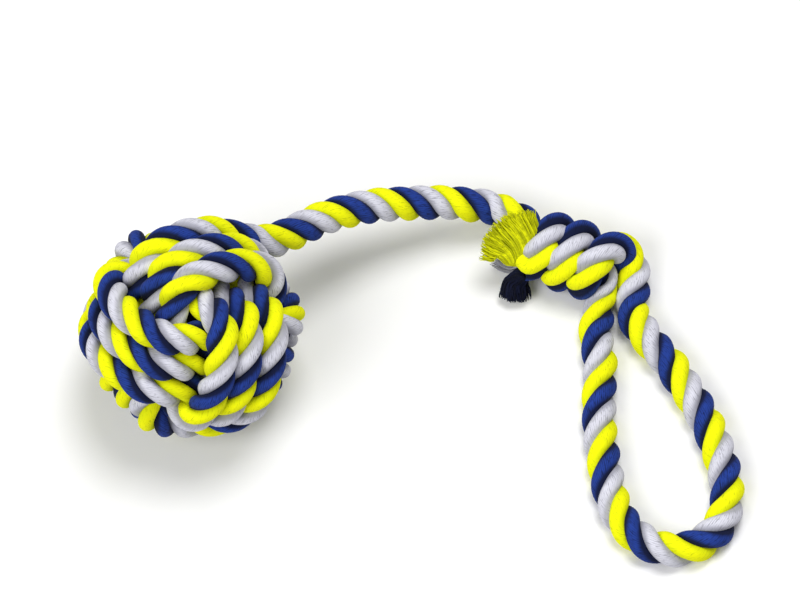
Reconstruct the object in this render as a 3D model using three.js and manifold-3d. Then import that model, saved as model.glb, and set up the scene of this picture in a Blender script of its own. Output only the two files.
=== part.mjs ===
// A rope dog toy: one length of three-strand cotton rope, tied at one end into a
// ball round a hidden core and at the other into a knotted hand loop.
// Millimetres, +Z up. The origin is the floor point under the middle of the ball.

import * as THREE from 'three';
import { mergeVertices } from 'three/addons/utils/BufferGeometryUtils.js';
import Module from 'manifold-3d';

const wasm = await Module();
wasm.setup();

// Rope
const ROPE_D = 12;             // free rope: lead and hand loop
const WOUND_D = 9.6;           // the same rope drawn tight round the ball
const KNOT_D = 8.4;            // the same rope drawn tight in the knot
const JOIN_GAP = 0.3;          // between two stretches that meet end to end
const REST_FLAT = 1.2;         // how far the rope is pressed flat where it lies on the floor

// Ball: three bands of three turns, each band over one neighbour and under the other
const TURN_GAP = 1.05;         // between neighbouring turns of a band
const INNER_ROWS = 1.84;       // radius of a turn where it runs under a band, in row widths
const OUTER_ROWS = 3.055;      // radius of a turn where it runs over a band, in row widths
const DIVE_FROM = 27;          // a turn leaves the outer layer this many degrees from mid face
const DIVE_TO = 77;            // and has reached the inner layer at this many degrees
const SHIFT_FROM = 43;         // a turn moves to the next row this far past mid face
const SPREAD_ROWS = 0.062;     // extra room between the two turns that change rows
const SPREAD_ANGLE = 35;       // over about this many degrees each way
const TUCK_ANGLE = -125;       // where the rope's first end is tucked under the second band
const FIRST_ANGLE = -142;      // where the first turn starts, one diameter from that end
const BAND_START = -188.5;     // where the second and third bands start
const BAND_END = -1107;        // where the first and second bands end
const LEAD_ANGLE = -1100;      // where the third band lets go and becomes the lead
const LINK_PULL = 1.405;       // how full the bend between two bands is
const STEPS_PER_TURN = 36;
const LINK_STEPS = 7;
const WOUND_SIDES = 8;
const CORE_GAP = 0.3;          // between the core and the turns that hold it
const CORE_SIDES = 20;
const BALL_SPIN = -153;        // turn of the ball about the corner that faces up
const BALL_TIP = 18.5;         // lean of that corner towards the front

// Lead, from the ball to the knot: points chosen along its route
const LEAD_ROUTE = [
  [27.5, 32.6, 39.2], [33.5, 36, 37], [40, 40.6, 34.8], [48, 45.6, 32.2], [55, 48.9, 29.8],
  [62, 51.6, 27.3], [69, 53.6, 24.7], [76, 55.3, 22], [83, 56.8, 19.4], [90, 57.9, 17],
  [97, 58.1, 15],
];

// Knot: the tail goes over the lead and twice round it
const KNOT_X = 137;            // middle of the knot
const KNOT_Y = 38.5;
const KNOT_AXIS = -19;         // heading of the lead through the knot, in degrees
const PASS_D = 6.6;            // the lead where the wraps squeeze it
const WRAP_GAP = 0.5;          // between the wraps and the lead inside them
const WRAP_PITCH = 9.1;        // from one wrap to the next along the lead
const CROSS_END = 2.6;         // where the crossing ends and the wraps begin, from the middle
const WRAPS_FROM = 195;        // angle round the lead where the wraps begin, and where they end
const WRAPS_TO = 850;
const WRAPS_STEP = 45;
const KNOT_STEP = 3;           // step along the rope in the knot

// Hand loop: points chosen along its route on the floor, from the knot and back to it
const LOOP_ROUTE = [
  [143, 1], [142.4, -12], [142.8, -26], [144, -37], [145.6, -46], [147.6, -53.6], [151.2, -60.8],
  [156.4, -66.2], [163, -69.7], [170, -70.4], [177, -68.2], [182.8, -63.4], [186.2, -56.6],
  [187, -49], [186.2, -41], [183.8, -31.5], [180.2, -22], [175.8, -13], [170.8, -4.6], [166.6, 2.4],
];
const ROOT_LENGTH = 20;        // the soft stretch at each end of the loop, where it folds up

// Tassels: the three strands of the tail, combed out. Their middles and tips are from its end
const STRAND_D = 4.2;          // a strand where it leaves the tail
const STRAND_OUT = 2.8;        // from the middle of the tail to the middle of a strand
const LEAVE = 2.4;             // how far it runs straight on before it bends away
const LOCK_DEPTH = 0.08;       // how deep the furrows between its locks are, as a share
const SWEEP = 0.25;            // how far its outer locks fall short, as a share of its half width
const RAGGED = 0.6;            // unevenness of its ends
const TASSEL_SIDES = 24;
const TASSEL_STEPS = 7;
const TASSELS = [
  { name: 'tassel_yellow', round: 90, middle: [-6.4, 1.4, 6], tip: [-11.4, 5.2, 11.6],
    spread: 20, thickness: 3.4, across: [0.5, 0.8, 0.25] },
  { name: 'tassel_navy', round: -30, middle: [-4, -4.8, -6], tip: [-5.6, -11.2, -8.4],
    spread: 12, thickness: 4.2, across: [0.95, 0.3, 0] },
  { name: 'tassel_grey', round: 210, middle: [-4.8, 3, -7.1], tip: [-11.6, 4, -8.5],
    spread: 13, thickness: 3.8, across: [0.1, 1, 0] },
];

const SIDES = 10;              // sides of a free rope's section
const STEP_LENGTH = 9;         // step along a free rope
const CURVE_PARTS = 600;       // parts in which a curve's length is measured

const YELLOW = new THREE.MeshStandardMaterial({ color: 0xf4f406, roughness: 0.85, metalness: 0 });
const NAVY = new THREE.MeshStandardMaterial({ color: 0x1b2570, roughness: 0.9, metalness: 0 });
const GREY = new THREE.MeshStandardMaterial({ color: 0xc9c8d2, roughness: 0.9, metalness: 0 });
const RUBBER = new THREE.MeshStandardMaterial({ color: 0x3a3a3c, roughness: 0.8, metalness: 0 });

const rad = THREE.MathUtils.degToRad;
const vec = (x, y, z) => new THREE.Vector3(x, y, z);

// A step from 0 to 1 that starts and ends level.
function ease(t) {
  const s = THREE.MathUtils.clamp(t, 0, 1);
  return s * s * s * (s * (6 * s - 15) + 10);
}

// Solids for joining and cutting

function solidOf(geometry) {
  const bare = new THREE.BufferGeometry();
  bare.setAttribute('position', geometry.getAttribute('position'));
  bare.setIndex(geometry.getIndex());
  const merged = mergeVertices(bare, 1e-4);
  return new wasm.Manifold(new wasm.Mesh({
    numProp: 3,
    vertProperties: new Float32Array(merged.getAttribute('position').array),
    triVerts: new Uint32Array(merged.getIndex().array),
  }));
}

function geometryOf(solid) {
  const mesh = solid.getMesh();
  const geometry = new THREE.BufferGeometry();
  geometry.setAttribute('position', new THREE.BufferAttribute(mesh.vertProperties, 3));
  geometry.setIndex(new THREE.BufferAttribute(mesh.triVerts, 1));
  return geometry;
}

// The rope is pressed flat where it would go below the floor.
function pressFlat(geometry) {
  const span = 1000;
  const floor = new THREE.BoxGeometry(span, span, span).translate(0, 0, -span / 2);
  return geometryOf(solidOf(geometry).subtract(solidOf(floor)));
}

// Rings of points carried along a line of centres, closed at both ends.
function skin(rings) {
  const sides = rings[0].length;
  const points = rings.flat();
  const faces = [];
  for (let i = 0; i + 1 < rings.length; i += 1) {
    for (let j = 0; j < sides; j += 1) {
      const a = i * sides + j;
      const b = i * sides + (j + 1) % sides;
      faces.push(a, b, b + sides, a, b + sides, a + sides);
    }
  }
  const middle = (ring) => ring.reduce((sum, p) => sum.add(p), vec(0, 0, 0)).divideScalar(sides);
  const first = points.push(middle(rings[0])) - 1;
  const last = points.push(middle(rings[rings.length - 1])) - 1;
  const top = (rings.length - 1) * sides;
  for (let j = 0; j < sides; j += 1) {
    const next = (j + 1) % sides;
    faces.push(first, next, j, last, top + j, top + next);
  }
  const geometry = new THREE.BufferGeometry().setFromPoints(points);
  geometry.setIndex(faces);
  return geometry;
}

// A round tube whose centres are given, with a diameter for each.
function tube(centres, diameters, sides) {
  const along = centres.map((p, i) => {
    const before = centres[Math.max(i - 1, 0)];
    const after = centres[Math.min(i + 1, centres.length - 1)];
    return after.clone().sub(before).normalize();
  });
  const side = vec(0, 0, 1).cross(along[0]).normalize();
  const rings = centres.map((p, i) => {
    side.addScaledVector(along[i], -side.dot(along[i])).normalize();
    const up = along[i].clone().cross(side);
    return Array.from({ length: sides }, (_, j) => {
      const angle = (2 * Math.PI * (j + 0.5)) / sides;
      return p.clone()
        .addScaledVector(side, Math.cos(angle) * diameters[i] / 2)
        .addScaledVector(up, Math.sin(angle) * diameters[i] / 2);
    });
  });
  return skin(rings);
}

// A stretch of a longer curve, from one distance along it to another.
class Stretch extends THREE.Curve {
  constructor(whole, from, to) {
    super();
    this.whole = whole;
    this.from = from / whole.getLength();
    this.to = to / whole.getLength();
  }

  getPoint(t) {
    return this.whole.getPointAt(THREE.MathUtils.lerp(this.from, this.to, t));
  }
}

function smoothCurve(points) {
  const curve = new THREE.CatmullRomCurve3(points, false, 'centripetal');
  curve.arcLengthDivisions = CURVE_PARTS;
  return curve;
}

// A free rope: a round section carried along a curve.
function freeRope(curve) {
  const corners = Array.from({ length: SIDES }, (_, i) => {
    const angle = (2 * Math.PI * (i + 0.5)) / SIDES;
    return new THREE.Vector2(Math.cos(angle), Math.sin(angle)).multiplyScalar(ROPE_D / 2);
  });
  const steps = Math.max(3, Math.round(curve.getLength() / STEP_LENGTH));
  return new THREE.ExtrudeGeometry(new THREE.Shape(corners), { steps, extrudePath: curve });
}

// Ball

const ROW = WOUND_D + TURN_GAP;

// One turn of a band in the band's own axes: u is the way out to the face that the band
// crosses, v the way to the face that it runs under, w the way across its rows.
function bandPoint(angle) {
  const turned = -angle;
  const shift = (start) => ease((turned - start - SHIFT_FROM) / (180 - 2 * SHIFT_FROM));
  const spread = (middle) => SPREAD_ROWS * Math.exp(-(((turned - middle) / SPREAD_ANGLE) ** 2));
  const row = 1 - shift(360) - shift(720) + spread(450) - spread(810);
  const fromFace = Math.abs(THREE.MathUtils.euclideanModulo(angle + 90, 180) - 90);
  const dive = ease((fromFace - DIVE_FROM) / (DIVE_TO - DIVE_FROM));
  const radius = THREE.MathUtils.lerp(OUTER_ROWS, INNER_ROWS, dive) * ROW;
  return [radius * Math.cos(rad(angle)), radius * Math.sin(rad(angle)), row * ROW];
}

function onBall(band, angle) {
  const [u, v, w] = bandPoint(angle);
  return [vec(u, v, w), vec(w, u, v), vec(v, w, u)][band];
}

function bandPoints(band, from, to) {
  const count = Math.round(Math.abs(to - from) / 360 * STEPS_PER_TURN);
  return Array.from({ length: count + 1 }, (_, i) => (
    onBall(band, THREE.MathUtils.lerp(from, to, i / count))
  ));
}

// The bend that carries the rope from the end of one band to the start of the next.
function linkPoints(before, after) {
  const [p, q] = [before.at(-1), after[0]];
  const pull = p.distanceTo(q) * LINK_PULL / 3;
  const leave = p.clone().sub(before.at(-2)).setLength(pull).add(p);
  const arrive = q.clone().sub(after[1]).setLength(pull).add(q);
  const curve = new THREE.CubicBezierCurve3(p, leave, arrive, q);
  return Array.from({ length: LINK_STEPS - 1 }, (_, i) => {
    const t = (i + 1) / LINK_STEPS;
    const reach = THREE.MathUtils.lerp(p.length(), q.length(), t);
    return curve.getPoint(t).setLength(reach);
  });
}

// The least gap between stretches of a winding that lie apart along it, on points 1 mm apart.
function leastGap(centres, diameter) {
  const curve = new THREE.CatmullRomCurve3(centres);
  const count = Math.round(curve.getLength());
  const points = curve.getSpacedPoints(count);
  const apart = Math.round(2 * diameter);
  let least = Infinity;
  for (let i = 0; i < count; i += 1) {
    for (let j = i + apart; j <= count; j += 1) {
      least = Math.min(least, points[i].distanceTo(points[j]));
    }
  }
  return least - diameter;
}

const ballPose = new THREE.Quaternion()
  .setFromAxisAngle(vec(1, 0, 0), rad(BALL_TIP))
  .multiply(new THREE.Quaternion().setFromAxisAngle(vec(0, 0, 1), rad(BALL_SPIN)))
  .multiply(new THREE.Quaternion().setFromUnitVectors(vec(1, 1, 1).normalize(), vec(0, 0, 1)));

const firstBand = [onBall(0, TUCK_ANGLE), ...bandPoints(0, FIRST_ANGLE, BAND_END)];
const secondBand = bandPoints(1, BAND_START, BAND_END);
const thirdBand = bandPoints(2, BAND_START, LEAD_ANGLE);
const letGo = thirdBand.at(-1);
const winding = [
  ...firstBand,
  ...linkPoints(firstBand, secondBand),
  ...secondBand,
  ...linkPoints(secondBand, thirdBand),
  ...thirdBand,
  letGo.clone().sub(thirdBand.at(-2)).setLength(WOUND_D).add(letGo),
].map((p) => p.applyQuaternion(ballPose));
const BALL_Z = WOUND_D / 2 - REST_FLAT - Math.min(...winding.map((p) => p.z));
winding.forEach((p) => p.setZ(p.z + BALL_Z));

console.log('least gap of the ball winding to itself, mm:', leastGap(winding, WOUND_D).toFixed(2));
console.log('height of the middle of the ball, mm:', BALL_Z.toFixed(2));

const coreRadius = INNER_ROWS * ROW - WOUND_D / 2 - CORE_GAP;

// Knot, in its own axes: along the lead, across it towards the back, and up.

const WRAP_R = PASS_D / 2 + WRAP_GAP + KNOT_D / 2;
const KNOT_Z = WRAP_R + KNOT_D / 2 - REST_FLAT;
const LIE_Z = ROPE_D / 2 - REST_FLAT;

function knotPoint(along, across, up) {
  return vec(along, across, up).applyAxisAngle(vec(0, 0, 1), rad(KNOT_AXIS))
    .add(vec(KNOT_X, KNOT_Y, KNOT_Z));
}

// A point of the wraps: how far along the lead, and the angle round it from the back over the top.
function wrapPoint(along, angle) {
  return knotPoint(along, WRAP_R * Math.cos(rad(angle)), WRAP_R * Math.sin(rad(angle)));
}

// The lead is squeezed where it runs through the wraps, then bends down to the loop's first leg.
const passStops = [
  [knotPoint(-31, 8.2, 1), ROPE_D],
  [knotPoint(-26.5, 8.2, 0.8), 11],
  [knotPoint(-22.5, 7.6, 0.5), 9],
  [knotPoint(-20.4, 5.7, 0.2), 7.1],
  [knotPoint(-18, 3.1, -0.2), PASS_D],
  [knotPoint(-14.8, 0.7, -0.2), PASS_D],
  [knotPoint(-8, 0, 0), PASS_D],
  [knotPoint(0, 0, 0), PASS_D],
  [knotPoint(5, 0, 0), PASS_D],
  [knotPoint(9, -0.8, -1.2), 6.4],
  [knotPoint(10.8, -3.8, -3.6), 7.2],
  [knotPoint(10.6, -8.3, LIE_Z - KNOT_Z + 0.6), 8.8],
  [knotPoint(10.4, -13, LIE_Z - KNOT_Z), 11],
  [knotPoint(11.4, -17.5, LIE_Z - KNOT_Z), ROPE_D],
];

// The tail comes up from the loop's second leg, crosses over the lead and goes twice round it.
const wrapStops = [
  [knotPoint(28.6, -17.2, LIE_Z - KNOT_Z), ROPE_D],
  [knotPoint(25, -14.4, LIE_Z - KNOT_Z), ROPE_D],
  [knotPoint(22, -10.6, LIE_Z - KNOT_Z), 11.4],
  [knotPoint(20.6, -5.5, LIE_Z - KNOT_Z + 0.2), 10],
  [knotPoint(19.2, -0.3, LIE_Z - KNOT_Z + 0.6), 9],
  [knotPoint(17.2, 4.4, -4.8), KNOT_D],
  [wrapPoint(CROSS_END + 10.6, -8), KNOT_D],
  [wrapPoint(CROSS_END + 8.8, 18), KNOT_D],
  [wrapPoint(CROSS_END + 6.8, 48), KNOT_D],
  [wrapPoint(CROSS_END + 4.7, 80), KNOT_D],
  [wrapPoint(CROSS_END + 2.5, 115), KNOT_D],
  [wrapPoint(CROSS_END + 0.9, 150), KNOT_D],
];
for (let angle = WRAPS_FROM; angle < WRAPS_TO; angle += WRAPS_STEP) {
  const turns = (angle - 180) / 360;
  wrapStops.push([wrapPoint(CROSS_END - WRAP_PITCH * turns, angle), KNOT_D]);
}
const lastWrap = CROSS_END - 2 * WRAP_PITCH;
wrapStops.push(
  [wrapPoint(lastWrap + 0.8, 866), KNOT_D],
  [knotPoint(lastWrap - 0.5, -8.2, 1.7), KNOT_D],
  [knotPoint(lastWrap - 2.9, -8.4, 0.5), KNOT_D],
);

// A rope through the given stops, whose diameter follows them.
function knotRope(stops) {
  const curve = smoothCurve(stops.map(([p]) => p));
  const steps = Math.round(curve.getLength() / KNOT_STEP);
  const centres = curve.getSpacedPoints(steps);
  const diameters = centres.map((p, i) => {
    const at = curve.getUtoTmapping(i / steps) * (stops.length - 1);
    const k = Math.min(Math.floor(at), stops.length - 2);
    return THREE.MathUtils.lerp(stops[k][1], stops[k + 1][1], at - k);
  });
  return { centres, geometry: pressFlat(tube(centres, diameters, SIDES)) };
}

const knotPass = knotRope(passStops);
const knotWraps = knotRope(wrapStops);

// Lead and hand loop

// Two points straight on from the end of a list of centres, past the gap to the next stretch.
function straightOn(centres) {
  const way = centres.at(-1).clone().sub(centres.at(-2)).normalize();
  return [JOIN_GAP, ROPE_D / 2].map((far) => centres.at(-1).clone().addScaledVector(way, far));
}

const backwards = (points) => [...points].reverse();
const leadCurve = smoothCurve([
  ...straightOn(winding),
  ...LEAD_ROUTE.map((p) => vec(...p)),
  ...backwards(straightOn(backwards(knotPass.centres))),
]);

const loopCurve = smoothCurve([
  ...straightOn(knotPass.centres),
  ...LOOP_ROUTE.map(([x, y]) => vec(x, y, LIE_Z)),
  ...backwards(straightOn(backwards(knotWraps.centres))),
]);
const loopLength = loopCurve.getLength();
const farRoot = loopLength - ROOT_LENGTH;

// Tassels

const tailEnd = knotWraps.centres.at(-1);
const tailWay = tailEnd.clone().sub(knotWraps.centres.at(-2)).normalize();
const tailUp = vec(0, 0, 1).addScaledVector(tailWay, -tailWay.z).normalize();
const tailFront = tailUp.clone().cross(tailWay);

function strandRoot(round) {
  return tailEnd.clone()
    .addScaledVector(tailWay, JOIN_GAP)
    .addScaledVector(tailFront, STRAND_OUT * Math.cos(rad(round)))
    .addScaledVector(tailUp, STRAND_OUT * Math.sin(rad(round)));
}

// A combed-out strand: it leaves the tail round and spreads into a flat brush with uneven ends.
function tassel(root, way, { middle, tip, spread, thickness, across }) {
  const leave = root.clone().addScaledVector(way, LEAVE);
  const fan = [middle, tip].map((offset) => vec(...offset).add(tailEnd));
  const curve = smoothCurve([root, leave, ...fan]);
  const wide = vec(...across).normalize();
  const rings = Array.from({ length: TASSEL_STEPS + 1 }, (_, i) => {
    const t = i / TASSEL_STEPS;
    const open = ease(t);
    const along = curve.getTangentAt(t);
    const side = wide.clone().addScaledVector(along, -wide.dot(along)).normalize();
    const up = along.clone().cross(side);
    const halfWidth = THREE.MathUtils.lerp(STRAND_D, spread, open) / 2;
    const halfDepth = THREE.MathUtils.lerp(STRAND_D, thickness, open) / 2;
    return Array.from({ length: TASSEL_SIDES }, (__, j) => {
      const angle = (2 * Math.PI * j) / TASSEL_SIDES;
      const lock = 1 + LOCK_DEPTH * open * Math.cos(TASSEL_SIDES / 2 * angle);
      const swept = SWEEP * open * halfWidth * Math.cos(angle) ** 2;
      const ragged = i === TASSEL_STEPS ? RAGGED * Math.sin(5 * angle) : 0;
      return curve.getPointAt(t)
        .addScaledVector(side, halfWidth * lock * Math.cos(angle))
        .addScaledVector(up, halfDepth * lock * Math.sin(angle))
        .addScaledVector(along, ragged - swept);
    });
  });
  return skin(rings);
}

const toy = new THREE.Group();

function add(name, geometry, material) {
  const mesh = new THREE.Mesh(geometry, material);
  mesh.name = name;
  toy.add(mesh);
  return mesh;
}

const core = new THREE.SphereGeometry(coreRadius, CORE_SIDES, CORE_SIDES / 2);
add('ball_core', core, RUBBER).position.z = BALL_Z;
add('ball_winding', pressFlat(tube(winding, winding.map(() => WOUND_D), WOUND_SIDES)), YELLOW);
add('lead_rope', freeRope(leadCurve), GREY);
add('knot_pass', knotPass.geometry, NAVY);
add('knot_wraps', knotWraps.geometry, YELLOW);
add('loop_root_left', pressFlat(freeRope(new Stretch(loopCurve, 0, ROOT_LENGTH))), NAVY);
add('loop_handle',
  pressFlat(freeRope(new Stretch(loopCurve, ROOT_LENGTH + JOIN_GAP, farRoot - JOIN_GAP))), GREY);
add('loop_root_right', pressFlat(freeRope(new Stretch(loopCurve, farRoot, loopLength))), NAVY);
TASSELS.forEach((one, i) => {
  add(one.name, tassel(strandRoot(one.round), tailWay, one), [YELLOW, NAVY, GREY][i]);
});

export default toy;
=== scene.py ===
# %% [markdown]
# # A rope dog toy
# The toy is one length of three-strand cotton rope. One end is tied into a ball round a
# hidden core, the other into a hand loop with a wrapped knot, and the tail that is left over
# is combed out into tassels. Everything here is in metres, in the frame of the CAD part.

import bpy
import numpy as np
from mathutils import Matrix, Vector


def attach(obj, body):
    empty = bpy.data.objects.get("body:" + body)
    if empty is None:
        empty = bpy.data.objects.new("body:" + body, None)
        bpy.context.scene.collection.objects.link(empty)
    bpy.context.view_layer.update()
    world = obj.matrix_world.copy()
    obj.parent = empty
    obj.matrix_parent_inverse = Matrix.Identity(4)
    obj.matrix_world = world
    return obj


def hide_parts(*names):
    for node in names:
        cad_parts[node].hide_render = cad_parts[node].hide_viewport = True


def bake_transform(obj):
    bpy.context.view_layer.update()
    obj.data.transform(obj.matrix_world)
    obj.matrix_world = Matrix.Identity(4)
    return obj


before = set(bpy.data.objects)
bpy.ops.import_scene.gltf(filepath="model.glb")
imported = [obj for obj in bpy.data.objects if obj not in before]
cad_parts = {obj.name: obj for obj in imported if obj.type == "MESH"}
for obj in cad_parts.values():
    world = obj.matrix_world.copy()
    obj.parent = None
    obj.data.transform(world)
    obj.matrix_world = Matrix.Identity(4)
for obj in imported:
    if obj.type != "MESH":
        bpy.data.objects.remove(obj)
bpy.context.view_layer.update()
# Millimetres in a metre.
MM = 1000

# %% [markdown]
# ## Camera
# The photo looks down on the toy rather steeply, and the ball and the far end of the loop are
# drawn at the same scale, so the lens is a long one. The aim is the point of the part that
# lies in the middle of the picture.

# %% Place the camera
PIXELS_WIDE = 800
PIXELS_PER_METRE = 2850
LENS, SENSOR, SEES_AS_FAR = 600.0, 36.0, 10
AIM = Vector((0.0726, 0.0185, 0.020))
ELEVATION = np.radians(65)

camera = bpy.data.objects.new("camera", bpy.data.cameras.new("camera"))
camera.data.lens, camera.data.sensor_width = LENS, SENSOR
distance = LENS / SENSOR * PIXELS_WIDE / PIXELS_PER_METRE
back = Vector((0, -np.cos(ELEVATION), np.sin(ELEVATION)))
camera.location = AIM + back * distance
camera.rotation_euler = (-back).to_track_quat("-Z", "Y").to_euler()
camera.data.clip_end = SEES_AS_FAR
bpy.context.collection.objects.link(camera)
bpy.context.scene.camera = camera
print(f"camera {distance:.2f} m from the toy")

# %% [markdown]
# ## The line of the rope
# A rope is easiest to make from its centre line. Free stretches of it follow given points,
# joined by a smooth curve. Blender's own curves could join them too, but the twist of the
# strands needs every step of the line, so the line is worked out here. It is a Catmull-Rom
# curve: it goes through every point, and its direction at a point is taken from the points on
# each side.

# %% A smooth curve through points
CUT, STRAIGHT = 0.0003, 0.006


def unit(v):
    """The same direction with length 1."""
    return v / np.linalg.norm(v, axis=-1, keepdims=True)


def smooth_line(points, per_span=30):
    """Centripetal Catmull-Rom curve. Each span is a cubic a + b t + c t^2 + d t^3 whose end
    slopes come from its neighbours, weighted by the square roots of the spans' lengths."""
    p = np.asarray(points, float)
    p = np.vstack([2 * p[0] - p[1], p, 2 * p[-1] - p[-2]])
    before, a, b, after = p[:-3], p[1:-2], p[2:-1], p[3:]
    spans = (a - before, b - a, after - b)
    left, mid, right = (np.sqrt(np.linalg.norm(v, axis=1))[:, None] for v in spans)
    leave = ((a - before) / left - (b - before) / (left + mid) + (b - a) / mid) * mid
    arrive = ((b - a) / mid - (after - a) / (mid + right) + (after - b) / right) * mid
    t = np.linspace(0, 1, per_span, endpoint=False)[None, :, None]
    a, b, leave, arrive = (v[:, None, :] for v in (a, b, leave, arrive))
    square = 3 * (b - a) - 2 * leave - arrive
    cube = 2 * (a - b) + leave + arrive
    curve = a + leave * t + square * t**2 + cube * t**3
    return np.vstack([curve.reshape(-1, 3), p[-2]])


def straight_on(line, steps=(CUT, STRAIGHT)):
    """Points straight on from the end of a line: past the CAD part's thin cut, and further on."""
    return [line[-1] + unit(line[-1] - line[-2]) * step for step in steps]


# %% [markdown]
# ## The ball
# The ball is wound in three bands of three turns. Every band runs over one neighbour and under
# the other, so a turn is a ring that is wide where it runs over and narrow where it runs under.
# It could be traced turn by turn, but as a formula the turns stay even, and the three bands are
# the same ring with its axes swapped round.

# %% Dimensions of the rope and of the ball's turns
# The rope's thickness when free, in the ball, in the wraps, and squeezed inside the wraps.
ROPE_D, WOUND_D, KNOT_D, PASS_D = 0.012, 0.0096, 0.0084, 0.0066
# How much of the rope is pressed flat on the floor.
REST_FLAT = 0.0012
ROW_GAP = 0.00105
ROW = WOUND_D + ROW_GAP
# A turn's radius in rows, where it runs under and where it runs over.
INNER_ROWS, OUTER_ROWS = 1.84, 3.055
# All angles are in degrees. A turn dives under between two angles from the face it crosses.
DIVE_FROM, DIVE_TO = 27, 77
# After each turn the band moves over by a row, and the middles of the turns stand apart a little.
SHIFT_STARTS, SHIFT_FROM = (360, 720), 43
SPREAD_MIDDLES, SPREAD_ROWS, SPREAD_ANGLE = (450, 810), 0.062, 35
# Where the rope is tucked in, and where each band starts and ends.
TUCK_ANGLE, FIRST_ANGLE, BAND_START, BAND_END, LEAD_ANGLE = -125, -142, -188.5, -1107, -1100
LINK_PULL = 1.405
BALL_SPIN, BALL_TIP = np.radians(-153), np.radians(18.5)


def ease(t):
    """A step from 0 to 1 that starts and ends level: 6 t^5 - 15 t^4 + 10 t^3."""
    s = np.clip(t, 0, 1)
    return s**3 * (s * (6 * s - 15) + 10)


def band(which, angle):
    """One band. Its ring has the radius of the outer layer near the two faces that it crosses and
    of the inner layer between them, and it moves over by one row in each turn."""
    angle = np.atleast_1d(np.asarray(angle, float))
    turned, width = -angle, 180 - 2 * SHIFT_FROM
    shift = [ease((turned - start - SHIFT_FROM) / width) for start in SHIFT_STARTS]
    near = [np.exp(-(((turned - mid) / SPREAD_ANGLE) ** 2)) for mid in SPREAD_MIDDLES]
    row = 1 - shift[0] - shift[1] + SPREAD_ROWS * near[0] - SPREAD_ROWS * near[1]
    from_face = np.abs((angle + 90) % 180 - 90)
    dive = ease((from_face - DIVE_FROM) / (DIVE_TO - DIVE_FROM))
    radius = (OUTER_ROWS + (INNER_ROWS - OUTER_ROWS) * dive) * ROW
    at = np.radians(angle)
    ring = np.stack([radius * np.cos(at), radius * np.sin(at), row * ROW], 1)
    return np.roll(ring, which, axis=1)


print(f"turns {INNER_ROWS * ROW * MM:.1f} to {OUTER_ROWS * ROW * MM:.1f} mm from the middle")

# %% [markdown]
# ### The winding
# The rope starts tucked in beside the core and runs round the bands one after the other. A bend
# leads from each band to the next. The three bands meet at corners. One corner is turned up
# first, and then the ball is spun and tipped to lie as it does in the photo.


# %% The winding from its tucked end to the lead
def turns(which, start, end, step=4):
    """Points along a band from one angle to another, some degrees apart."""
    return band(which, np.linspace(start, end, int(abs(end - start) / step) + 1))


def link(which, start, follows, count=18, look=10):
    """The bend from one band to the next: a cubic Bezier curve, pushed out to the ball's reach.
    Its direction at each end is the band's own, seen over a few degrees."""
    p, before = band(which, [start, start + look])
    q, after = band(follows, [BAND_START, BAND_START - look])
    pull = np.linalg.norm(q - p) * LINK_PULL / 3
    leave, arrive = p + unit(p - before) * pull, q + unit(q - after) * pull
    t = np.linspace(0, 1, count + 1)[1:-1, None]
    curve = p * (1 - t) ** 3 + 3 * leave * t * (1 - t) ** 2
    curve = curve + 3 * arrive * t**2 * (1 - t) + q * t**3
    reach = np.linalg.norm(p) * (1 - t) + np.linalg.norm(q) * t
    return unit(curve) * reach


def turned_about(axis, angle):
    """Rotation matrix about a unit axis, by Rodrigues' formula."""
    x, y, z = axis
    k = np.array([[0, -z, y], [z, 0, -x], [-y, x, 0]])
    return np.eye(3) + np.sin(angle) * k + (1 - np.cos(angle)) * k @ k


corner_up = turned_about(np.array([1, -1, 0]) / np.sqrt(2), np.arccos(1 / np.sqrt(3)))
ball_pose = turned_about((1, 0, 0), BALL_TIP) @ turned_about((0, 0, 1), BALL_SPIN) @ corner_up
last_turn = turns(2, BAND_START, LEAD_ANGLE)
winding = np.vstack([
    band(0, TUCK_ANGLE),
    turns(0, FIRST_ANGLE, BAND_END), link(0, BAND_END, 1),
    turns(1, BAND_START, BAND_END), link(1, BAND_END, 2),
    last_turn, straight_on(last_turn, [WOUND_D]),
]) @ ball_pose.T
BALL_Z = WOUND_D / 2 - REST_FLAT - winding[:, 2].min()
winding[:, 2] += BALL_Z
print(f"middle of the ball {BALL_Z * MM:.1f} mm above the floor")

# %% [markdown]
# ## The knot
# The lead runs straight through the knot, squeezed thin by the wraps, and comes out as the
# first leg of the loop. The tail comes back up the second leg, crosses over and goes twice
# round the lead. Only the wraps are regular enough for a formula. The rest is given as stops in
# the knot's own axes, with a thickness at each.

# %% The knot's two stretches
KNOT_MIDDLE = np.array([0.137, 0.0385])
KNOT_AXIS = np.radians(-19)
WRAP_GAP, WRAP_PITCH, CROSS_END = 0.0005, 0.0091, 0.0026
WRAP_R = PASS_D / 2 + WRAP_GAP + KNOT_D / 2
KNOT_Z = WRAP_R + KNOT_D / 2 - REST_FLAT
LIE_Z = ROPE_D / 2 - REST_FLAT
DROP = LIE_Z - KNOT_Z


def in_knot(stops):
    """Stops of (along, across, up, thickness) in the knot's axes, as places and thicknesses."""
    along, across, up, thick = np.array(stops, float).T
    x = KNOT_MIDDLE[0] + along * np.cos(KNOT_AXIS) - across * np.sin(KNOT_AXIS)
    y = KNOT_MIDDLE[1] + along * np.sin(KNOT_AXIS) + across * np.cos(KNOT_AXIS)
    return np.stack([x, y, KNOT_Z + up], 1), thick


def wrap(along, angle):
    """A stop of the wraps: its distance along the lead, and its angle round it."""
    turn = np.radians(angle)
    return (along, WRAP_R * np.cos(turn), WRAP_R * np.sin(turn), KNOT_D)


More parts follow.
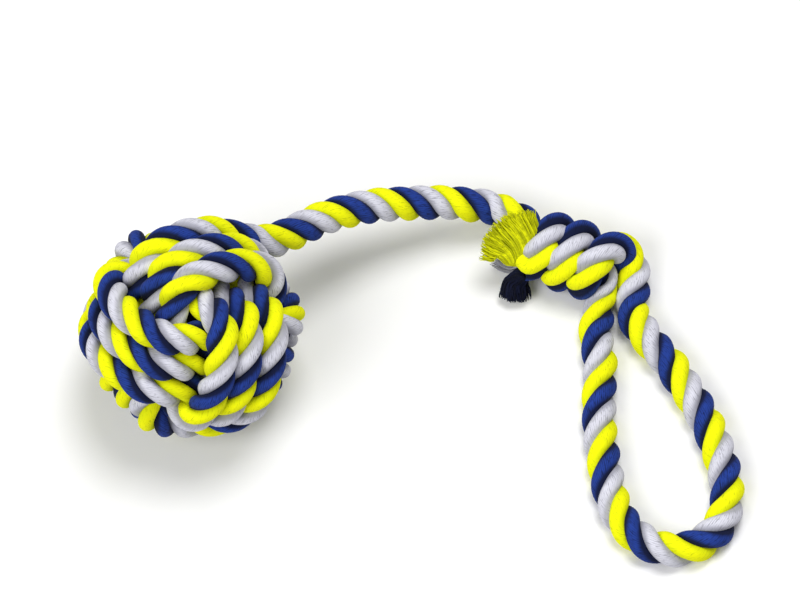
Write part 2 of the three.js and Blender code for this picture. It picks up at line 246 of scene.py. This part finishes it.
PASS_STOPS = [
    (-0.031, 0.0082, 0.001, ROPE_D), (-0.0265, 0.0082, 0.0008, 0.011),
    (-0.0225, 0.0076, 0.0005, 0.009), (-0.0204, 0.0057, 0.0002, 0.0071),
    (-0.018, 0.0031, -0.0002, PASS_D), (-0.0148, 0.0007, -0.0002, PASS_D),
    (-0.008, 0, 0, PASS_D), (0, 0, 0, PASS_D), (0.005, 0, 0, PASS_D),
    (0.009, -0.0008, -0.0012, 0.0064), (0.0108, -0.0038, -0.0036, 0.0072),
    (0.0106, -0.0083, DROP + 0.0006, 0.0088), (0.0104, -0.013, DROP, 0.011),
    (0.0114, -0.0175, DROP, ROPE_D),
]
LEG_STOPS = [
    (0.0286, -0.0172, DROP, ROPE_D), (0.025, -0.0144, DROP, ROPE_D),
    (0.022, -0.0106, DROP, 0.0114), (0.0206, -0.0055, DROP + 0.0002, 0.010),
    (0.0192, -0.0003, DROP + 0.0006, 0.009), (0.0172, 0.0044, -0.0048, KNOT_D),
]
CROSSING = [(0.0106, -8), (0.0088, 18), (0.0068, 48), (0.0047, 80), (0.0025, 115), (0.0009, 150)]
ROUND_ANGLES = range(195, 850, 45)
LAST_WRAP = CROSS_END - 2 * WRAP_PITCH
TAIL_STOPS = [
    wrap(LAST_WRAP + 0.0008, 866), (LAST_WRAP - 0.0005, -0.0082, 0.0017, KNOT_D),
    (LAST_WRAP - 0.0029, -0.0084, 0.0005, KNOT_D),
]
WRAP_STOPS = [
    *LEG_STOPS,
    *[wrap(CROSS_END + before, angle) for before, angle in CROSSING],
    *[wrap(CROSS_END - WRAP_PITCH * (angle - 180) / 360, angle) for angle in ROUND_ANGLES],
    *TAIL_STOPS,
]


def thick_line(stops):
    """A smooth curve through stops, with the thickness changing evenly from stop to stop."""
    places, thick = in_knot(stops)
    line = smooth_line(places)
    at = np.linspace(0, len(stops) - 1, len(line))
    return line, np.interp(at, np.arange(len(stops)), thick)


knot_pass, pass_thick = thick_line(PASS_STOPS)
knot_wraps, wraps_thick = thick_line(WRAP_STOPS)
print(f"knot {2 * (WRAP_R + KNOT_D / 2) * MM:.0f} mm thick")

# %% [markdown]
# ## The lead and the hand loop
# These are the free stretches. They lie in easy bends, which no short formula gives, so they go
# through listed points. The points are the ones that the CAD part uses.

# %% Free stretches
LEAD_ROUTE = [
    (0.0275, 0.0326, 0.0392), (0.0335, 0.036, 0.037), (0.040, 0.0406, 0.0348),
    (0.048, 0.0456, 0.0322), (0.055, 0.0489, 0.0298), (0.062, 0.0516, 0.0273),
    (0.069, 0.0536, 0.0247), (0.076, 0.0553, 0.022), (0.083, 0.0568, 0.0194),
    (0.090, 0.0579, 0.017), (0.097, 0.0581, 0.015),
]
LOOP_ROUTE = [
    (0.143, 0.001), (0.1424, -0.012), (0.1428, -0.026), (0.144, -0.037), (0.1456, -0.046),
    (0.1476, -0.0536), (0.1512, -0.0608), (0.1564, -0.0662), (0.163, -0.0697), (0.170, -0.0704),
    (0.177, -0.0682), (0.1828, -0.0634), (0.1862, -0.0566), (0.187, -0.049), (0.1862, -0.041),
    (0.1838, -0.0315), (0.1802, -0.022), (0.1758, -0.013), (0.1708, -0.0046), (0.1666, 0.0024),
]
lead = smooth_line([*straight_on(winding), *LEAD_ROUTE, *straight_on(knot_pass[::-1])[::-1]])
loop = smooth_line([
    *straight_on(knot_pass),
    *[(x, y, LIE_Z) for x, y in LOOP_ROUTE],
    *straight_on(knot_wraps[::-1])[::-1],
])
print(f"{len(lead)} points along the lead, {len(loop)} along the loop")

# %% [markdown]
# ### One rope
# The stretches are laid end to end as one line with even steps, so that the twist of the strands
# runs on without a break from the ball to the tassels. Soft cotton fills the gaps between the
# turns, so in the ball and in the wraps the rope is drawn plumper than the CAD part's tube. A
# running mean takes away the corner where one thickness follows another.

# %% The whole rope as one line
STEP = 0.0008
PLUMP_WOUND, PLUMP_KNOT = 0.0112, 0.0116
MEAN_STEPS = 15


def lengths(line):
    """The distance along a line at each of its points."""
    return np.concatenate([[0], np.cumsum(np.linalg.norm(np.diff(line, axis=0), axis=1))])


STRETCHES = {
    "ball": (winding, np.full(len(winding), PLUMP_WOUND)),
    "lead": (lead, np.full(len(lead), ROPE_D)),
    "pass": (knot_pass, pass_thick),
    "loop": (loop, np.full(len(loop), ROPE_D)),
    "wraps": (knot_wraps, np.maximum(wraps_thick, PLUMP_KNOT)),
}
whole = np.vstack([line for line, _ in STRETCHES.values()])
far = lengths(whole)
rope_at = np.linspace(0, far[-1], int(far[-1] / STEP) + 1)
rope_line = np.stack([np.interp(rope_at, far, whole[:, k]) for k in range(3)], 1)
rope_thick = np.interp(rope_at, far, np.concatenate([thick for _, thick in STRETCHES.values()]))
rope_thick = np.pad(rope_thick, MEAN_STEPS // 2, "edge")
rope_thick = np.convolve(rope_thick, np.ones(MEAN_STEPS) / MEAN_STEPS, "valid")
ends = np.cumsum([0] + [len(line) for line, _ in STRETCHES.values()])
ends[-1] -= 1
REACH = {name: (far[ends[i]], far[ends[i + 1]]) for i, name in enumerate(STRETCHES)}
print("rope length in m:", {name: round(b - a, 3) for name, (a, b) in REACH.items()})

# %% [markdown]
# ## Strands
# Three strands lie round the rope's middle line like the threads of a right-handed screw. A
# Screw modifier could twist them along a straight rope, but not along one that bends and whose
# twist changes, so their rings are worked out here. Each ring needs directions across the rope
# that don't spin by themselves, so one side direction is carried along the line and only
# straightened at each step.


# %% Directions carried along the rope
def carried(line):
    """Two directions across a line that turn only as much as they must."""
    along = unit(np.gradient(line, axis=0))
    side = np.empty_like(line)
    side[0] = unit(np.cross((0, 0, 1), along[0]))
    for i in range(1, len(line)):
        side[i] = unit(side[i - 1] - along[i] * (side[i - 1] @ along[i]))
    return side, np.cross(along, side)


side, up = carried(rope_line)
print(f"{len(rope_line)} rings along {rope_at[-1]:.2f} m of rope")

# %% [markdown]
# ### The lay
# The lay is the twist of the strands. It is even in new rope, but winding and knotting tighten
# it in one place and slacken it in another. So the turns are fixed at marks along the rope and
# grow evenly between them. On the ball the marks are where the photo shows the yellow strand on
# the outside of a band. Past the ball each stretch has its own number of turns, chosen so that
# the stripes fall as in the photo where they show. The lay is tightest where the rope arches
# over the knot.

# %% Turns of the strands along the rope
LAY_PITCH = 0.0265
# Angles round each band where the yellow strand faces out.
YELLOW_OUT = {0: (-346, -708, -1072), 1: (-337, -686, -1043), 2: (-373, -739, -1090)}
# The part of a turn by which the yellow strand is past the side direction where the lead starts.
LEAD_PHASE = 0.13
# A stretch, how much of it has passed at the mark, and the turns since the mark before.
TURNS = [
    ("lead", 1, 4.53), ("pass", 1, 2.37), ("loop", 1, 7.72),
    ("wraps", 0.27, 1.97), ("wraps", 0.66, 2.2), ("wraps", 1, 2.01),
]


def twist():
    """How many turns the strands have made at each ring. A mark on the ball has the turn that
    brings the yellow strand outwards, and is the nearest such turn to an even lay."""
    marks, turned = [0.0], [0.0]

    def mark(where, phase):
        """Sets a mark whose turns are a whole number and the given part of a turn."""
        guess = turned[-1] + (where - marks[-1]) / LAY_PITCH
        marks.append(where)
        turned.append(phase + np.round(guess - phase))

    for which, angles in YELLOW_OUT.items():
        for out in band(which, angles) @ ball_pose.T:
            ring = np.argmin(np.linalg.norm(rope_line - out - (0, 0, BALL_Z), axis=1))
            mark(rope_at[ring], np.arctan2(out @ up[ring], out @ side[ring]) / (2 * np.pi))
    mark(REACH["lead"][0], LEAD_PHASE)
    for name, share, count in TURNS:
        marks.append(REACH[name][0] + share * (REACH[name][1] - REACH[name][0]))
        turned.append(turned[-1] + count)
    return np.interp(rope_at, marks, turned)


lay = twist()
print(f"{lay[-1]:.1f} turns of the strands")

# %% [markdown]
# ### The strands' surface
# The strands are plump: their middles lie about a quarter of the rope's thickness from its
# middle. Their thickness swells and shrinks a little along the way, as soft cotton does.
# The surface carries a pattern of its own. Its first coordinate counts the yarns round a strand,
# slanted so that the yarns run along the rope as they do in twisted cotton, and its second is
# the length along the strand in millimetres.

# %% Rings of the three strands
SIDES, CROWDED_OUTSIDE = 20, 0.4
# Distance from the rope's middle and radius, as parts of the rope's thickness.
STRAND_OUT, STRAND_R = 0.270, 0.247
YARNS = 20
COLOURS = ["yellow", "grey", "navy"]
# How much a strand swells, radians in a metre, and where the wave starts in each strand.
SWELLS = [(0.02, 410, [[0], [2], [4]]), (0.015, 170, [[1], [5], [3]])]


def strand_rings():
    """Strand k is the curve line + out (cos a side + sin a up) with a = 2 pi (lay + k / 3). Its
    rings stand across that curve, with more points on the outside than on the hidden inside.
    The crown is the cosine of a point's angle from the outside."""
    turn = 2 * np.pi * (lay[None, :] + np.arange(3)[:, None] / 3)
    out = np.cos(turn)[..., None] * side + np.sin(turn)[..., None] * up
    centre = rope_line + STRAND_OUT * rope_thick[:, None] * out
    way = unit(np.gradient(centre, axis=1))
    out = unit(out - way * np.sum(out * way, axis=2, keepdims=True))
    across = np.cross(way, out)
    ring = np.linspace(0, 2 * np.pi, SIDES + 1)
    ring = ring - CROWDED_OUTSIDE * np.sin(ring)
    steps = np.linalg.norm(np.diff(centre, axis=1, prepend=centre[:, :1]), axis=2)
    far_on = np.cumsum(steps, axis=1)
    swell = 1 + sum(much * np.sin(far_on * often + start) for much, often, start in SWELLS)
    radius = (STRAND_R * rope_thick * swell)[..., None, None]
    rim = np.cos(ring)[:-1, None] * out[:, :, None] + np.sin(ring)[:-1, None] * across[:, :, None]
    points = centre[:, :, None] + radius * rim
    points[..., 2] = np.maximum(points[..., 2], 0)
    slant = 2 * np.pi * (STRAND_OUT + STRAND_R) / LAY_PITCH / STRAND_R
    yarn = YARNS / (2 * np.pi) * (ring + slant * far_on[..., None])
    along = np.broadcast_to(far_on[..., None] * MM, yarn.shape)
    return points, np.stack([yarn, along], -1), np.cos(ring[:-1])


rings, pattern, crown = strand_rings()
print("strand points:", rings.shape)

# %% [markdown]
# ## From rings to a mesh
# Rings in a row make a skin of four-sided faces, and a flat face closes each end. The strands,
# the yarns of the tassels and the core are all made this way.


# %% Skin rows of rings
def crease_ends(mesh, rows, sides):
    """Marks the edges of the end rings as sharp, so that the flat ends don't shade the tube."""
    pairs = np.empty(2 * len(mesh.edges), np.int32)
    mesh.edges.foreach_get("vertices", pairs)
    row = (pairs.reshape(-1, 2) // sides) % rows
    rim = (row[:, 0] == row[:, 1]) & np.isin(row[:, 0], [0, rows - 1])
    mesh.attributes.new("sharp_edge", "BOOLEAN", "EDGE").data.foreach_set("value", rim)


def skinned(name, rings, pattern, crown, materials):
    """rings is an array of tubes x rings x sides x 3. Faces join point j of ring i with point
    j + 1 and with ring i + 1. The pattern has one more column, so that it closes round the tube.
    The crown is a number at each point, high where the piece is lit most and low in its grooves."""
    tubes, rows, sides, _ = rings.shape
    index = np.arange(tubes * rows * sides).reshape(tubes, rows, sides)
    nxt = np.roll(index, -1, axis=2)
    quads = np.stack([index[:, :-1], nxt[:, :-1], nxt[:, 1:], index[:, 1:]], -1).reshape(-1, 4)
    here, there = pattern[:, :-1], pattern[:, 1:]
    uv = np.stack([here[:, :, :-1], here[:, :, 1:], there[:, :, 1:], there[:, :, :-1]], 3)
    caps = np.concatenate([index[:, 0, ::-1], index[:, -1]])
    cap_uv = np.concatenate([pattern[:, 0, -2::-1], pattern[:, -1, :-1]])
    mesh = bpy.data.meshes.new(name)
    mesh.from_pydata(rings.reshape(-1, 3), [], quads.tolist() + caps.tolist())
    layer = mesh.uv_layers.new(name="yarn")
    layer.data.foreach_set("uv", np.concatenate([uv.ravel(), cap_uv.ravel()]).astype(np.float32))
    level = np.broadcast_to(crown, rings.shape[:3]).ravel().astype(np.float32)
    mesh.attributes.new("crown", "FLOAT", "POINT").data.foreach_set("value", level)
    for material in materials:
        mesh.materials.append(material)
    tube_of = np.repeat(np.arange(tubes), (rows - 1) * sides)
    tube_of = np.concatenate([tube_of, np.tile(np.arange(tubes), 2)]) % len(materials)
    mesh.polygons.foreach_set("material_index", tube_of.astype(np.int32))
    mesh.polygons.foreach_set("use_smooth", np.ones(len(mesh.polygons), bool))
    crease_ends(mesh, rows, sides)
    mesh.validate()
    piece = bpy.data.objects.new(name, mesh)
    bpy.context.collection.objects.link(piece)
    print(f"{name}: {len(mesh.polygons)} faces")
    return piece


# %% [markdown]
# ## Cotton
# Cotton strands are matt and a little fuzzy. Fine yarns show as ridges, fibres run along them,
# and dark flecks show between the fibres. The darker colour in the grooves between the yarns and
# between the strands is painted shade. A picture of cloth would have to be stretched round the
# strands. Here all of it is worked out from the strand's own pattern, so it follows the twist and
# bends with the rope. First come four small helpers for nodes.


# %% Helpers for material nodes
def node(tree, kind, inputs=(), **settings):
    """A node with its settings, whose inputs are values or other nodes' outputs."""
    made = tree.nodes.new("ShaderNode" + kind)
    for key, value in settings.items():
        setattr(made, key, value)
    for key, value in dict(inputs).items():
        if isinstance(value, bpy.types.NodeSocket):
            tree.links.new(value, made.inputs[key])
        else:
            made.inputs[key].default_value = value
    return made


def maths(tree, operation, *values):
    """The result of one sum, product or function."""
    return node(tree, "Math", dict(enumerate(values)), operation=operation).outputs[0]


def remapped(tree, value, limits, **settings):
    """A value moved evenly between limits: low, high, result at low, result at high."""
    inputs = {0: value, **{i + 1: limit for i, limit in enumerate(limits)}}
    return node(tree, "MapRange", inputs, **settings).outputs[0]


def between(tree, share, first, second):
    """A share of the way from one colour to another."""
    return node(tree, "Mix", {0: share, 6: first, 7: second}, data_type="RGBA").outputs[2]


# %% Cotton material
FIBRES_ROUND, FIBRES_ALONG = 1.5, 0.45
FIBRE_NOISE = {"Scale": 1.0, "Detail": 5.0, "Roughness": 0.65}
CLOUD_NOISE = {"Scale": 160.0, "Detail": 2.0}
FIBRE_SHARE = 0.82
TONE_LIMITS = (0.36, 0.56, 0.3, 1.0)
# The crown's limits set painted light and shade: full colour on the outside of a strand, the
# painted shade colour towards the grooves between strands.
CROWN_LIMITS = (0.4, 0.98, 0.0, 1.0)
CLOUD_LIMITS = (0.35, 0.65, 0.8, 1.0)
FLECK_LIMITS = (0.32, 0.46, 0.7, 0.0)
FLECK_SHADE = 0.45
BUMP_STRENGTH, BUMP_DEPTH = 0.6, 0.00016
ROUGHNESS, SPECULAR, SHEEN_ROUGHNESS = 0.9, 0.2, 0.5


def cotton(name, colour, groove_shade, sheen=0.0):
    """Cotton of one colour, with a darker colour of painted shade in its grooves. The yarns are
    ridges |sin(pi u)| of the pattern's first coordinate u, and the fibres are noise drawn out along
    them. The colour is full where ridge, fibre and crown are high, and goes towards the painted
    shade where they are low. The flecks are where the noise is low."""
    material = bpy.data.materials.new(name)
    material.use_nodes = True
    tree = material.node_tree
    u, v, _ = node(tree, "SeparateXYZ", {0: node(tree, "UVMap", uv_map="yarn").outputs[0]}).outputs
    ridge = maths(tree, "ABSOLUTE", maths(tree, "SINE", maths(tree, "MULTIPLY", u, np.pi)))
    round_it = maths(tree, "MULTIPLY", u, FIBRES_ROUND)
    along_it = maths(tree, "MULTIPLY", v, FIBRES_ALONG)
    drawn_out = node(tree, "CombineXYZ", {0: round_it, 1: along_it}).outputs[0]
    fibre = node(tree, "TexNoise", {"Vector": drawn_out, **FIBRE_NOISE}).outputs[0]
    spot = node(tree, "TexCoord").outputs["Object"]
    cloud = node(tree, "TexNoise", {"Vector": spot, **CLOUD_NOISE}).outputs[0]
    height = node(tree, "Mix", {0: FIBRE_SHARE, 2: ridge, 3: fibre}, data_type="FLOAT").outputs[0]
    level = node(tree, "Attribute", attribute_name="crown").outputs["Fac"]
    # Painted shade: the colour darkens from the crown of each strand towards the grooves where
    # strands meet. The cloud noise adds random patches on top.
    crown_shade = remapped(tree, level, CROWN_LIMITS, interpolation_type="SMOOTHSTEP")
    shade_and_patches = maths(tree, "MULTIPLY", crown_shade, remapped(tree, cloud, CLOUD_LIMITS))
    lit = maths(tree, "MULTIPLY", remapped(tree, height, TONE_LIMITS), shade_and_patches)
    mixed = between(tree, lit, (*groove_shade, 1), (*colour, 1))
    fleck_colour = (*[FLECK_SHADE * value for value in groove_shade], 1)
    shaded = between(tree, remapped(tree, fibre, FLECK_LIMITS), mixed, fleck_colour)
    bump = node(tree, "Bump", {"Strength": BUMP_STRENGTH, "Distance": BUMP_DEPTH, "Height": height})
    shader = tree.nodes["Principled BSDF"]
    tree.links.new(shaded, shader.inputs["Base Color"])
    tree.links.new(bump.outputs[0], shader.inputs["Normal"])
    shader.inputs["Roughness"].default_value = ROUGHNESS
    shader.inputs["Specular IOR Level"].default_value = SPECULAR
    shader.inputs["Sheen Weight"].default_value = sheen
    shader.inputs["Sheen Roughness"].default_value = SHEEN_ROUGHNESS
    return material


# Each strand's own colour, then the colour of the painted shade in its grooves.
strand_cotton = {
    "yellow": cotton("yellow strand", (0.98, 0.99, 0.001), (0.86, 0.92, 0.002)),
    "grey": cotton("grey strand", (0.75, 0.75, 0.84), (0.43, 0.43, 0.50), 0.04),
    "navy": cotton("navy strand", (0.018, 0.054, 0.33), (0.004, 0.008, 0.04), 0.02),
}
print("strand colours:", ", ".join(strand_cotton))

# %% [markdown]
# ## The two free ropes
# Each piece of the rope is cut from the same rows of rings, so that neighbours meet without a
# step. The lead bends between the ball and the knot, and the loop bends where it leaves the knot.

# %% Make one stretch of the rope
NO_LENGTH = 1e-9


def rope_piece(name, start, end, replaced, colours=COLOURS):
    """The strands between two distances along the rope, as one piece."""
    first, last = np.searchsorted(rope_at, [start, end - NO_LENGTH])
    last = min(last, len(rope_at) - 1)
    span = slice(first, last + 1)
    materials = [strand_cotton[colour] for colour in colours]
    piece = skinned(name, rings[:, span], pattern[:, span], crown, materials)
    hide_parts(*replaced)
    return piece, rope_line[span]


# %% Lead
lead_piece, lead_path = rope_piece("lead_strands", *REACH["lead"], ["lead_rope"])
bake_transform(lead_piece)

# %% Hand loop
loop_piece, loop_path = rope_piece(
    "loop_strands", *REACH["loop"], ["loop_root_left", "loop_handle", "loop_root_right"]
)
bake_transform(loop_piece)

# %% [markdown]
# ## The ball and the knot
# The ball's strands are cut into three equal pieces, so that none is too heavy, and a last third
# of a turn that runs on into the lead. In the photo the colours on the ball follow each other
# the other way round than on the lead, probably because the real ball is wound in the other
# sense. So the three pieces have grey and navy changed over, and the change lies under another
# band, where it can't be seen.

# %% Ball
HIDDEN_ANGLE = -990
BALL_COLOURS = ["yellow", "navy", "grey"]
BALL_PIECES = {
    "ball_band_1": BALL_COLOURS, "ball_band_2": BALL_COLOURS, "ball_band_3": BALL_COLOURS,
    "ball_last_turn": COLOURS,
}
hidden = band(2, HIDDEN_ANGLE) @ ball_pose.T + (0, 0, BALL_Z)
change = rope_at[np.argmin(np.linalg.norm(rope_line - hidden, axis=1))]
cuts = [*np.linspace(0, change, len(BALL_PIECES)), REACH["ball"][1]]
for (name, colours), start, end in zip(BALL_PIECES.items(), cuts[:-1], cuts[1:]):
    piece, _ = rope_piece(name, start, end, ["ball_winding"], colours)
    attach(piece, "ball")

# %% Knot
KNOT_PIECES = [("knot_inner", "pass", "knot_pass"), ("knot_outer", "wraps", "knot_wraps")]
for name, stretch, node_name in KNOT_PIECES:
    piece, _ = rope_piece(name, *REACH[stretch], [node_name])
    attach(piece, "knot")

# %% [markdown]
# ## The core
# A ball like this needs something inside to keep its shape, and the photo shows only a dark spot
# between the bands. A plain sphere would do. Here it is a ball of felt, a little uneven, as a
# surface of two angles, so that it can carry the same kind of pattern as the strands. Its
# near-black colour is painted shade for the deep holes between the bands.

# %% Core
CORE_GAP, CORE_UNEVEN = 0.0003, 0.015
CORE_ROWS, CORE_SIDES, POLE_HOLE = 33, 48, 0.02
DENTS_ROUND, DENTS_DOWN = 7, 5
FELT_DOWN, FELT_ROUND, FELT_CROWN = 20, 40, 0.7
CORE_R = INNER_ROWS * ROW - WOUND_D / 2 - CORE_GAP
tall = np.linspace(POLE_HOLE, np.pi - POLE_HOLE, CORE_ROWS)[:, None]
wide = np.linspace(0, 2 * np.pi, CORE_SIDES + 1)[None, :-1]
dents = np.sin(DENTS_ROUND * wide) * np.sin(DENTS_DOWN * tall)
uneven = CORE_R * (1 - CORE_UNEVEN + CORE_UNEVEN * dents)
level = uneven * np.sin(tall)
core_points = np.stack(
    [level * np.cos(wide), level * np.sin(wide), BALL_Z - uneven * np.cos(tall)], -1
)
felt_rows = np.linspace(0, FELT_DOWN, CORE_ROWS)
felt_sides = np.linspace(0, FELT_ROUND, CORE_SIDES + 1)
core_pattern = np.stack(np.meshgrid(felt_rows, felt_sides, indexing="ij"), -1)
# The core's near-black colour is painted shade for the holes between the bands.
core_shade_felt = cotton("dark core", (0.012, 0.013, 0.018), (0.007, 0.008, 0.011))
core = skinned("core_ball", core_points[None], core_pattern[None], FELT_CROWN, [core_shade_felt])
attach(core, "ball")
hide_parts("ball_core")

# %% [markdown]
# ## Tassels
# Past the knot the three strands are combed out. Each tassel is a bundle of thin yarns that
# starts as the strand and opens into a flat brush. Blender's hair could do this, but as thin
# tubes the yarns go into the exported model too. Every yarn has its own place in the bundle, its
# own length and its own slight wave.

# %% Yarns of a tassel
# How far back the tail's direction is taken, in points.
TAIL_POINTS = 40
ROOT_OUT, ROOT_STRAIGHT, ROOT_D = 0.0028, 0.0008, 0.0046
YARN_STEPS, YARN_SIDES, YARN_R, YARN_TAPER = 14, 4, 0.00026, 0.45
YARN_LENGTHS = (0.78, 1.06)
WAVE, WAVE_COUNTS, WAVE_STARTS = 0.0005, (3, 7), (0, 6)
BRUSH_ROUND, LOWEST_Z = 0.6, 0.0001
# A yarn's place between groove and ridge, the fibres along it, and its crown.
YARN_TONES, YARN_FIBRES, YARN_CROWNS = (0.1, 0.5), 20, (0.3, 1.0)
tail_end = knot_wraps[-1]
tail_way = unit(knot_wraps[-1] - knot_wraps[-TAIL_POINTS])
tail_up = unit(np.array([0, 0, 1]) - tail_way * tail_way[2])
tail_front = np.cross(tail_up, tail_way)


def brush(rng, turn, middle, tip, spread, thickness, across, count):
    """Yarn k runs at the place (a, b) of a bundle whose half width and half thickness grow along
    a curve: centre + a width side + b thickness up, plus a wave that grows towards the end."""
    turn = np.radians(turn)
    root = tail_end + ROOT_OUT * (tail_front * np.cos(turn) + tail_up * np.sin(turn))
    line = smooth_line([root, root + tail_way * ROOT_STRAIGHT, tail_end + middle, tail_end + tip])
    length = lengths(line)[-1]
    share = np.linspace(0, 1, YARN_STEPS)[None, :] * rng.uniform(*YARN_LENGTHS, (count, 1))
    at = lengths(line) / length
    way = unit(np.gradient(line, axis=0))
    centre, way = (
        np.stack([np.interp(share, at, v[:, k]) for k in range(3)], -1) for v in (line, way)
    )
    way = unit(way)
    centre = centre + way * np.maximum(share - 1, 0)[..., None] * length
    wide = unit(np.asarray(across, float) - way * np.sum(way * across, axis=-1, keepdims=True))
    high = np.cross(way, wide)
    angle = rng.uniform(0, 2 * np.pi, (count, 1))
    out = np.sqrt(rng.uniform(0, 1, (count, 1)))
    half_wide = 0.5 * (ROOT_D + (spread - ROOT_D) * np.sqrt(share))
    half_high = 0.5 * (ROOT_D + (thickness - ROOT_D) * ease(share))
    often = rng.uniform(*WAVE_COUNTS, (count, 1))
    wave = WAVE * share * np.sin(often * share + rng.uniform(*WAVE_STARTS, (count, 1)))
    aside = half_wide * out * np.cos(angle) + wave
    above = half_high * out * np.sin(angle) + wave
    rounded = aside**2 / length * share * BRUSH_ROUND
    lines = centre + aside[..., None] * wide - rounded[..., None] * way + above[..., None] * high
    return lines, wide, high, share


def tassel(colour, seed, shape):
    """Thin tubes along the lines of a brush, each with its own tone."""
    rng = np.random.default_rng(seed)
    lines, wide, high, share = brush(rng, **shape)
    count = len(lines)
    ring = np.linspace(0, 2 * np.pi, YARN_SIDES + 1)[:-1, None]
    rim = np.cos(ring) * wide[:, :, None] + np.sin(ring) * high[:, :, None]
    points = lines[:, :, None] + YARN_R * (1 - YARN_TAPER * share**3)[..., None, None] * rim
    points[..., 2] = np.maximum(points[..., 2], LOWEST_Z)
    tone = rng.uniform(*YARN_TONES, (count, 1, 1))
    tone = np.broadcast_to(tone, (count, YARN_STEPS, YARN_SIDES + 1))
    far_on = np.broadcast_to((share * YARN_FIBRES)[..., None], tone.shape)
    crown = rng.uniform(*YARN_CROWNS, (count, 1, 1))
    # The combed cotton is painted shade: a darker copy of the strand's cotton.
    combed = cotton(f"combed {colour}", *COMBED_SHADED[colour])
    piece = skinned(
        f"tassel_{colour}_yarns", points, np.stack([tone, far_on], -1), crown, [combed],
    )
    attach(piece, "knot")
    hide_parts(f"tassel_{colour}")


# %% Tassels
# Each tassel's colour and its darker colour. Both are darker copies of the strand colours, as
# painted shade for the inside of the thick bundles.
COMBED_SHADED = {
    "yellow": ((0.93, 0.95, 0.004), (0.50, 0.53, 0.001)),
    "navy": ((0.007, 0.011, 0.045), (0.003, 0.004, 0.014)),
    "grey": ((0.55, 0.55, 0.62), (0.28, 0.28, 0.32)),
}
# The place of a strand round the tail in degrees, then two places that its brush goes through,
# how wide and thick it ends, the direction of its width, and how many yarns it has.
TASSELS = {
    "yellow": dict(
        turn=90, middle=(-0.0034, 0.0046, 0.0066), tip=(-0.0100, 0.0102, 0.0122),
        spread=0.026, thickness=0.0034, across=(0.62, 0.66, 0.42), count=640,
    ),
    "navy": dict(
        turn=-30, middle=(-0.0032, -0.0044, -0.006), tip=(-0.0036, -0.0104, -0.0084),
        spread=0.0108, thickness=0.0042, across=(0.95, 0.3, 0), count=300,
    ),
    "grey": dict(
        turn=210, middle=(-0.0042, 0.0042, -0.0071), tip=(-0.0098, 0.0078, -0.0085),
        spread=0.0105, thickness=0.0038, across=(0.1, 1, 0), count=240,
    ),
}
for seed, (colour, shape) in enumerate(TASSELS.items()):
    tassel(colour, seed, shape)

# %% [markdown]
# ## Floor
# The photo is cut out on white, with a soft shadow. The floor is a wide white sheet that keeps
# the shadow. It is a little greyer for the light that bounces off it, so that the underside of
# the toy isn't too bright.

# %% Floor
FLOOR_HALF, FLOOR_UNDER, BOUNCED = 4, 0.0002, 0.7
floor_mesh = bpy.data.meshes.new("floor")
corners = [(x * FLOOR_HALF, y * FLOOR_HALF, 0) for x, y in [(-1, -1), (1, -1), (1, 1), (-1, 1)]]
floor_mesh.from_pydata(corners, [], [(0, 1, 2, 3)])
floor = bpy.data.objects.new("floor", floor_mesh)
floor.location.z = -FLOOR_UNDER
bpy.context.collection.objects.link(floor)
paper = bpy.data.materials.new("white paper")
paper.use_nodes = True
tree = paper.node_tree
paths = node(tree, "LightPath").outputs
mirrored = maths(tree, "ADD", paths["Is Camera Ray"], paths["Is Glossy Ray"])
seen = maths(tree, "ADD", mirrored, paths["Is Transmission Ray"])
shader = tree.nodes["Principled BSDF"]
white = between(tree, seen, (BOUNCED, BOUNCED, BOUNCED, 1), (1, 1, 1, 1))
tree.links.new(white, shader.inputs["Base Color"])
shader.inputs["Roughness"].default_value = 1.0
shader.inputs["Specular IOR Level"].default_value = 0.0
floor_mesh.materials.append(paper)
print(f"floor {2 * FLOOR_HALF} m wide")

# %% [markdown]
# ## Light
# The shadows in the photo are soft and pale, as under a wide bright ceiling. A pale sky lights
# everything a little, and two wide suns make the shadows, one from overhead and one from the
# front left. Suns are easier to place here than lamps, because their light is the same
# everywhere.

# %% Light
SKY = 0.28
# A name, the strength, how many degrees wide the sun is, and the direction it stands in.
SUNS = [
    ("overhead", 1.75, 32, (0.15, 0.28, 1.0)),
    ("from the front left", 1.6, 40, (-0.6, -0.5, 0.75)),
]
world = bpy.data.worlds.new("studio")
bpy.context.scene.world = world
world.use_nodes = True
sky = world.node_tree.nodes["Background"]
sky.inputs["Color"].default_value = (1, 1, 1, 1)
sky.inputs["Strength"].default_value = SKY
for name, energy, width, stands in SUNS:
    sun = bpy.data.objects.new(name, bpy.data.lights.new(name, "SUN"))
    sun.data.energy, sun.data.angle = energy, np.radians(width)
    sun.rotation_euler = (-Vector(stands)).to_track_quat("-Z", "Y").to_euler()
    bpy.context.collection.objects.link(sun)
bpy.context.scene.view_settings.view_transform = "Standard"
print(f"{len(SUNS)} suns and a pale sky")
